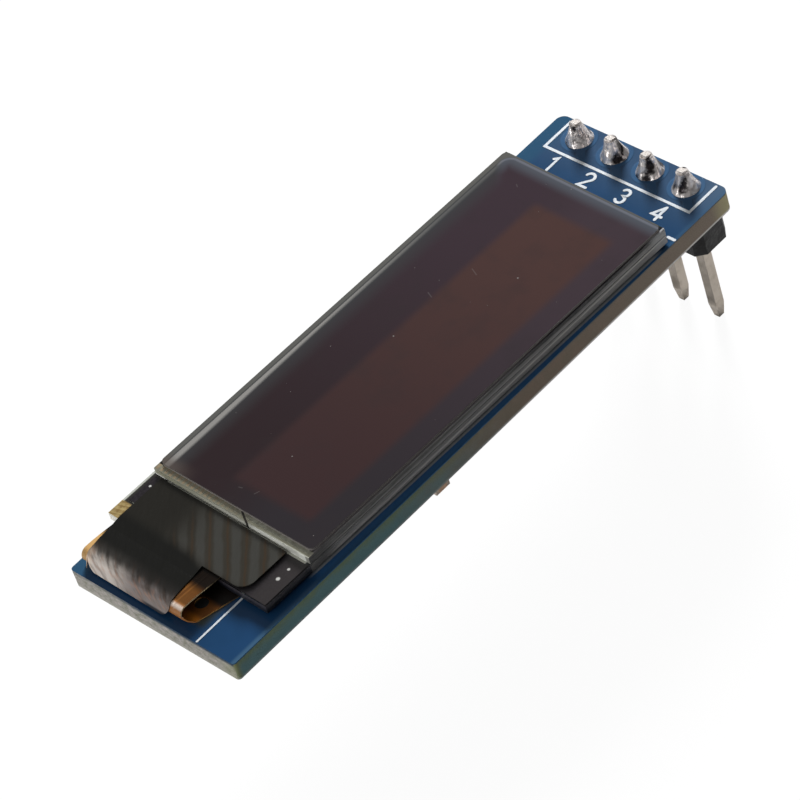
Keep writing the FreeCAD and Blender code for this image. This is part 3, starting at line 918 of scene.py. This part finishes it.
def board_to_row(points):
    """Board places in millimetres as row places in metres."""
    origin = np.array([BOARD_LOW[0], BOARD_LOW[1], BOARD_HIGH[2]])
    return np.asarray(points, float) * MM + origin


def joined(parts):
    """Points and faces of several meshes as one."""
    points, faces, count = [], [], 0
    for part, part_faces in parts:
        points.append(part)
        faces += [[i + count for i in face] for face in part_faces]
        count += len(part)
    return np.vstack(points), faces


def linked(name, data):
    """A new object in the scene for a mesh, a light or a camera."""
    thing = bpy.data.objects.new(name, data)
    bpy.context.collection.objects.link(thing)
    return thing


def mesh_piece(name, points, faces, material, slot):
    """Makes an object of points and faces that rides on the module."""
    mesh = bpy.data.meshes.new(name)
    mesh.from_pydata(points.tolist(), [], faces)
    mesh.materials.append(material)
    piece = linked(name, mesh)
    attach(piece, ROOT)


def stroke(path, width, height, cap_steps=6):
    """Flat closed slab along a line, with round ends.

    Its outline is the path moved half a width to each side, with mitred corners and half circles at both
    ends, once at the board and once at the ink's height.
    """
    path = np.asarray(path, float)
    step = np.diff(path, axis=0)
    step /= np.linalg.norm(step, axis=1)[:, None]
    ahead = np.vstack([step, step[-1:]])
    behind = np.vstack([step[:1], step])
    side = np.stack([-(ahead + behind)[:, 1], (ahead + behind)[:, 0]], axis=1)
    side /= np.linalg.norm(side, axis=1)[:, None]
    spread = np.stack([-ahead[:, 1], ahead[:, 0]], axis=1)
    side /= np.maximum((side * spread).sum(axis=1), 0.5)[:, None]
    half = width / 2
    angle = np.linspace(0, math.pi, cap_steps + 1)[1:-1]

    def cap(centre, direction):
        across = np.array([-direction[1], direction[0]])
        return centre + half * (np.cos(angle)[:, None] * across + np.sin(angle)[:, None] * direction)

    one_way, back = path + half * side, (path - half * side)[::-1]
    ring = np.vstack([one_way, cap(path[-1], step[-1]), back, cap(path[0], -step[0])])
    count = len(ring)
    low = np.column_stack([ring, np.zeros(count)])
    high = np.column_stack([ring, np.full(count, height)])
    turn = np.arange(count)
    after = np.roll(turn, -1)
    sides = np.column_stack([after, turn, turn + count, after + count])
    pairs = len(path)
    left = np.arange(pairs - 1)
    right = pairs + cap_steps - 1 + (pairs - 1 - left)
    strips = np.column_stack([left, left + 1, right - 1, right])
    end_ring = np.arange(pairs - 1, pairs + cap_steps)
    start_ring = np.append(np.arange(2 * pairs + cap_steps - 2, count), 0)
    lower = [*strips.tolist(), end_ring.tolist(), start_ring.tolist()]
    upper = [[i + count for i in face[::-1]] for face in lower]
    return np.vstack([low, high]), [*sides.tolist(), *upper, *lower]


def curve_points(centre, radius, start, end, steps=10):
    """Points on an arc between two angles in degrees."""
    angle = np.radians(np.linspace(start, end, steps + 1))
    return [(centre[0] + radius * math.cos(a), centre[1] + radius * math.sin(a)) for a in angle]


def digit_paths():
    """The numbers 1 to 4 as lines in a box one unit high, with x to the right and y up."""
    bow = 0.27
    return {
        1: [[(-0.16, 0.82), (0.04, 1.0), (0.04, 0.0)]],
        2: [curve_points((0.0, 0.73), bow, 165, -35) + [(-0.27, 0.0), (0.3, 0.0)]],
        3: [curve_points((0.0, 0.76), 0.24, 150, -90, 9) + curve_points((0.0, 0.26), 0.26, 90, -150, 9)[1:]],
        4: [[(0.14, 0.0), (0.14, 0.92)], [(0.14, 1.0), (-0.3, 0.3), (0.34, 0.3)]],
    }


def printed_marks(sizes, material):
    """White print: frame round the pins, pin numbers, centre line at the near end and a short dash."""
    width, height = sizes.line_width / MM, sizes.ink_height / MM
    near, far, right_y, left_y, digit_foot = 35.62, 37.8, 0.78, 11.11, 34.27
    frame_line = [(far, right_y), (near, right_y), (near, left_y), (far, left_y)]
    centre_line, dash = [(0.1, 2.7), (4.2, 2.7)], [(33.64, 0.1), (33.64, 0.55)]
    marks = [(frame_line, width), (centre_line, width * 0.7), (dash, width)]
    size = sizes.digit_height / MM
    for number, lines in digit_paths().items():
        middle = PIN_Y[number - 1]
        for line in lines:
            marks.append(([(digit_foot + size * up, middle - size * right) for right, up in line], width))
    # Strokes that cross differ a little in height, so that none of their faces coincide
    slabs = [stroke(path, wide, height * (1 + 0.05 * (i % 3))) for i, (path, wide) in enumerate(marks)]
    points, faces = joined(slabs)
    mesh_piece("printed_marks", board_to_row(points), faces, material, "board")


def fillet(middle, outward, width, reach, height, across_steps=6, steps=5):
    """Closed fillet of solder against the end face of a part under the board, in row metres.

    Its section lies between the end face, the board and a quarter ellipse that bows towards their corner, and
    shrinks to 0.7 of its size at both sides.
    """
    outward = np.asarray(outward, float)
    across = np.array([-outward[1], outward[0], 0.0])
    down = np.array([0.0, 0.0, -1.0])
    angle = np.linspace(0.0, math.pi / 2, steps + 1)
    out = np.append(1 - np.cos(angle), 0.0)
    drop = np.append(1 - np.sin(angle), 0.0)
    place = np.linspace(-1.0, 1.0, across_steps + 1)[:, None, None]
    size = 1 - 0.3 * place**2
    section = out[:, None] * reach * outward + drop[:, None] * height * down
    points = np.asarray(middle) + place * width / 2 * across + size * section
    ring = steps + 2
    row, turn = np.meshgrid(np.arange(across_steps) * ring, np.arange(ring), indexing="ij")
    after = (turn + 1) % ring
    walls = np.stack([row + turn, row + after, row + ring + after, row + ring + turn], axis=-1).reshape(-1, 4)
    first, last = np.arange(ring), across_steps * ring + np.arange(ring)
    return points.reshape(-1, 3), [*walls.tolist(), first[::-1].tolist(), last.tolist()]


def solder_fillets(sizes, material):
    """Fillets of solder at both ends of each chip part, and at the foot of each lead of the regulator."""
    floor = BOARD_LOW[2]

    def end_fillet(node, axis, sign):
        low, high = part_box(node)
        outward = np.zeros(3)
        outward[axis] = sign
        foot = np.array((low + high) / 2)
        foot[axis] = (high if sign > 0 else low)[axis]
        foot[2] = floor
        wide, tall = (high - low)[1 - axis] * FILLET_WIDTH_SHARE, (floor - low[2]) * FILLET_HEIGHT_SHARE
        return fillet(foot, outward, wide, sizes.fillet_reach, tall)

    parts = []
    for node in CAPACITORS + RESISTORS:
        axis = long_axis(*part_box(node))
        parts += [end_fillet(node, axis, 1), end_fillet(node, axis, -1)]
    body_low, body_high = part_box("regulator_body")
    for node in LEADS:
        low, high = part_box(node)
        beyond = (low + high - body_low - body_high) / 2
        axis = 0 if abs(beyond[0]) > abs(beyond[1]) else 1
        parts.append(end_fillet(node, axis, 1 if beyond[axis] > 0 else -1))
    mesh_piece("solder_fillets", *joined(parts), material, "solder")


# Operators


class BoardOperator(Operator):
    """Finish the circuit board"""

    bl_idname = "oled.board"
    bl_label = "Circuit board"

    def execute(self, context):
        colours = context.scene.oled_colours
        coat(board_finish(colours), "circuit_board")
        return {"FINISHED"}


class MarksOperator(Operator):
    """Add the white print on the board"""

    bl_idname = "oled.marks"
    bl_label = "Printed marks"

    def execute(self, context):
        scene = context.scene
        printed_marks(scene.oled_sizes, print_finish(scene.oled_colours))
        return {"FINISHED"}


class HeaderOperator(Operator):
    """Finish the pin header and its solder joints"""

    bl_idname = "oled.header"
    bl_label = "Pin header"

    def execute(self, context):
        coat(moulded_finish("header_black", rgb(38, 37, 37), 9.0, 0.42), "header_housing")
        coat(pin_finish(context.scene.oled_colours), *numbered("header_pin", PIN_COUNT))
        coat(solder_finish(), *numbered("solder_joint", PIN_COUNT))
        return {"FINISHED"}


class PanelOperator(Operator):
    """Finish the display panel"""

    bl_idname = "oled.panel"
    bl_label = "Display panel"

    def execute(self, context):
        coat(glass_finish("panel_glass"), "cap_glass", "substrate_glass")
        coat(film_finish(context.scene.oled_colours), "polarizer")
        coat(emitter_finish(), "emitter_matrix")
        coat(seal_finish(), "edge_seal")
        coat(bonding_tape_finish(), "mounting_tape")
        return {"FINISHED"}


class LedgeOperator(Operator):
    """Finish the driver chip, black sheets and flexible circuit at the near end"""

    bl_idname = "oled.ledge"
    bl_label = "Ledge and flexible circuit"

    def execute(self, context):
        colours = context.scene.oled_colours
        coat(driver_finish(), "driver_chip")
        coat(mask_finish(), "ledge_mask")
        coat(cover_tape_finish(colours), "cover_tape")
        coat(flex_finish(colours), "flex_circuit")
        return {"FINISHED"}


class ChipsOperator(Operator):
    """Finish the parts under the board"""

    bl_idname = "oled.chips"
    bl_label = "Parts under the board"

    def execute(self, context):
        for node in CAPACITORS:
            coat(chip_finish(node, rgb(248, 205, 170)), node)
        for node in RESISTORS:
            coat(chip_finish(node, rgb(24, 24, 26)), node)
        coat(moulded_finish("chip_black", rgb(26, 26, 28), 12.0, 0.5), "regulator_body")
        coat(lead_finish(), *LEADS)
        return {"FINISHED"}


class FilletsOperator(Operator):
    """Add the solder fillets of the parts under the board"""

    bl_idname = "oled.fillets"
    bl_label = "Solder fillets"

    def execute(self, context):
        solder_fillets(context.scene.oled_sizes, solder_finish())
        return {"FINISHED"}


def area_light(name, target, direction, distance, size, power):
    """A square soft light that looks at a point from a direction, in metres and watts."""
    data = bpy.data.lights.new(name, "AREA")
    data.size, data.energy = size, power
    light = linked(name, data)
    away = Vector(direction).normalized()
    light.location = Vector(target) + away * distance
    light.rotation_euler = away.to_track_quat("Z", "Y").to_euler()
    return light


def stage_floor(level):
    """Large pale floor that the camera sees as white with a faint shadow."""
    reach = 3.0
    mesh = bpy.data.meshes.new("floor")
    corners = [(-reach, -reach, level), (reach, -reach, level), (reach, reach, level), (-reach, reach, level)]
    mesh.from_pydata(corners, [], [(0, 1, 2, 3)])
    floor = linked("floor", mesh)
    f = Finish("floor")
    seen = f.add("ShaderNodeLightPath", output="Is Camera Ray")
    seen = seen.high(f.add("ShaderNodeLightPath", output="Is Transmission Ray"))
    paper = f.surface(Base_Color=(0.5, 0.5, 0.5, 1.0), Roughness=0.9)
    white = f.add("ShaderNodeEmission", inputs={"Color": (1, 1, 1, 1), "Strength": 1.08})
    mesh.materials.append(f.done(f.add("ShaderNodeMixShader", inputs=[seen * 0.88, paper, white])))


def stage_world(level):
    """World: white to the camera, otherwise a pale room that is bright on the left and dim on the right."""
    f = Finish("studio", "worlds")
    bpy.context.scene.world = f.owner
    east, north, up = f.split(f.add("ShaderNodeTexCoord", output="Generated"))
    room = (north * 0.8 - east * 0.45 + up * 0.3).ramp(-0.7, 0.6, 0.35, 1.0) * level
    seen = f.add("ShaderNodeLightPath", output="Is Camera Ray")
    light = f.add("ShaderNodeBackground", inputs={"Color": (1, 1, 1, 1), "Strength": room.high(seen)})
    f.add("ShaderNodeOutputWorld", inputs=[light])


def stage_camera(stage):
    """Camera on a sphere round its aim point, rolled about its own axis."""
    data = bpy.data.cameras.new("camera")
    data.lens, data.sensor_width, data.clip_start = stage.lens, 36.0, 0.01
    camera = linked("camera", data)
    a, e = stage.azimuth, stage.elevation
    back = Vector((math.sin(a) * math.cos(e), -math.cos(a) * math.cos(e), math.sin(e)))
    facing = back.to_track_quat("Z", "Y").to_matrix() @ Matrix.Rotation(-stage.roll, 3, "Z")
    camera.matrix_world = Matrix.Translation(Vector(stage.aim) + back * stage.distance) @ facing.to_4x4()
    bpy.context.scene.camera = camera


class StageOperator(Operator):
    """Add the floor, the light and the camera"""

    bl_idname = "oled.stage"
    bl_label = "Stage"

    def execute(self, context):
        scene = context.scene
        stage = scene.oled_stage
        scene.view_settings.view_transform = "Standard"
        middle = [(a + b) / 2 for a, b in zip(*CAD_BOX)]
        stage_floor(float(CAD_BOX[0][2]))
        stage_world(stage.surround)
        key = area_light(
            "key_light", middle, direction=(0.63, 0.63, 0.45), distance=0.4, size=0.11,
            power=stage.key_power,
        )
        key.visible_glossy = False
        area_light(
            "fill_light", middle, direction=(-0.95, 0.2, 0.28), distance=0.34, size=0.2,
            power=stage.fill_power,
        )
        stage_camera(stage)
        return {"FINISHED"}


PIECES = [
    BoardOperator, MarksOperator, HeaderOperator, PanelOperator, LedgeOperator, ChipsOperator,
    FilletsOperator,
]


class ModulePanel(Panel):
    """Sizes, colours and pieces of the module"""

    bl_idname = "OLED_PT_module"
    bl_label = "OLED module"
    bl_space_type = "VIEW_3D"
    bl_region_type = "UI"
    bl_category = "OLED module"

    def draw(self, context):
        layout = self.layout
        for group in (context.scene.oled_colours, context.scene.oled_sizes, context.scene.oled_stage):
            box = layout.box()
            for name in group.__annotations__:
                box.prop(group, name)
        for operator in (*PIECES, StageOperator):
            layout.operator(operator.bl_idname)


CLASSES = [ModuleColours, ModuleSizes, StageSettings, *PIECES, StageOperator, ModulePanel]


def register():
    """Registers the classes and hangs the settings on the scene."""
    for cls in CLASSES:
        bpy.utils.register_class(cls)
    bpy.types.Scene.oled_colours = PointerProperty(type=ModuleColours)
    bpy.types.Scene.oled_sizes = PointerProperty(type=ModuleSizes)
    bpy.types.Scene.oled_stage = PointerProperty(type=StageSettings)


def unregister():
    """Takes the settings and the classes away."""
    del bpy.types.Scene.oled_stage, bpy.types.Scene.oled_sizes, bpy.types.Scene.oled_colours
    for cls in reversed(CLASSES):
        bpy.utils.unregister_class(cls)


def main():
    """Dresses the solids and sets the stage."""
    register()
    for operator in (*PIECES, StageOperator):
        group, name = operator.bl_idname.split(".")
        getattr(getattr(bpy.ops, group), name)()


if __name__ == "__main__":
    main()
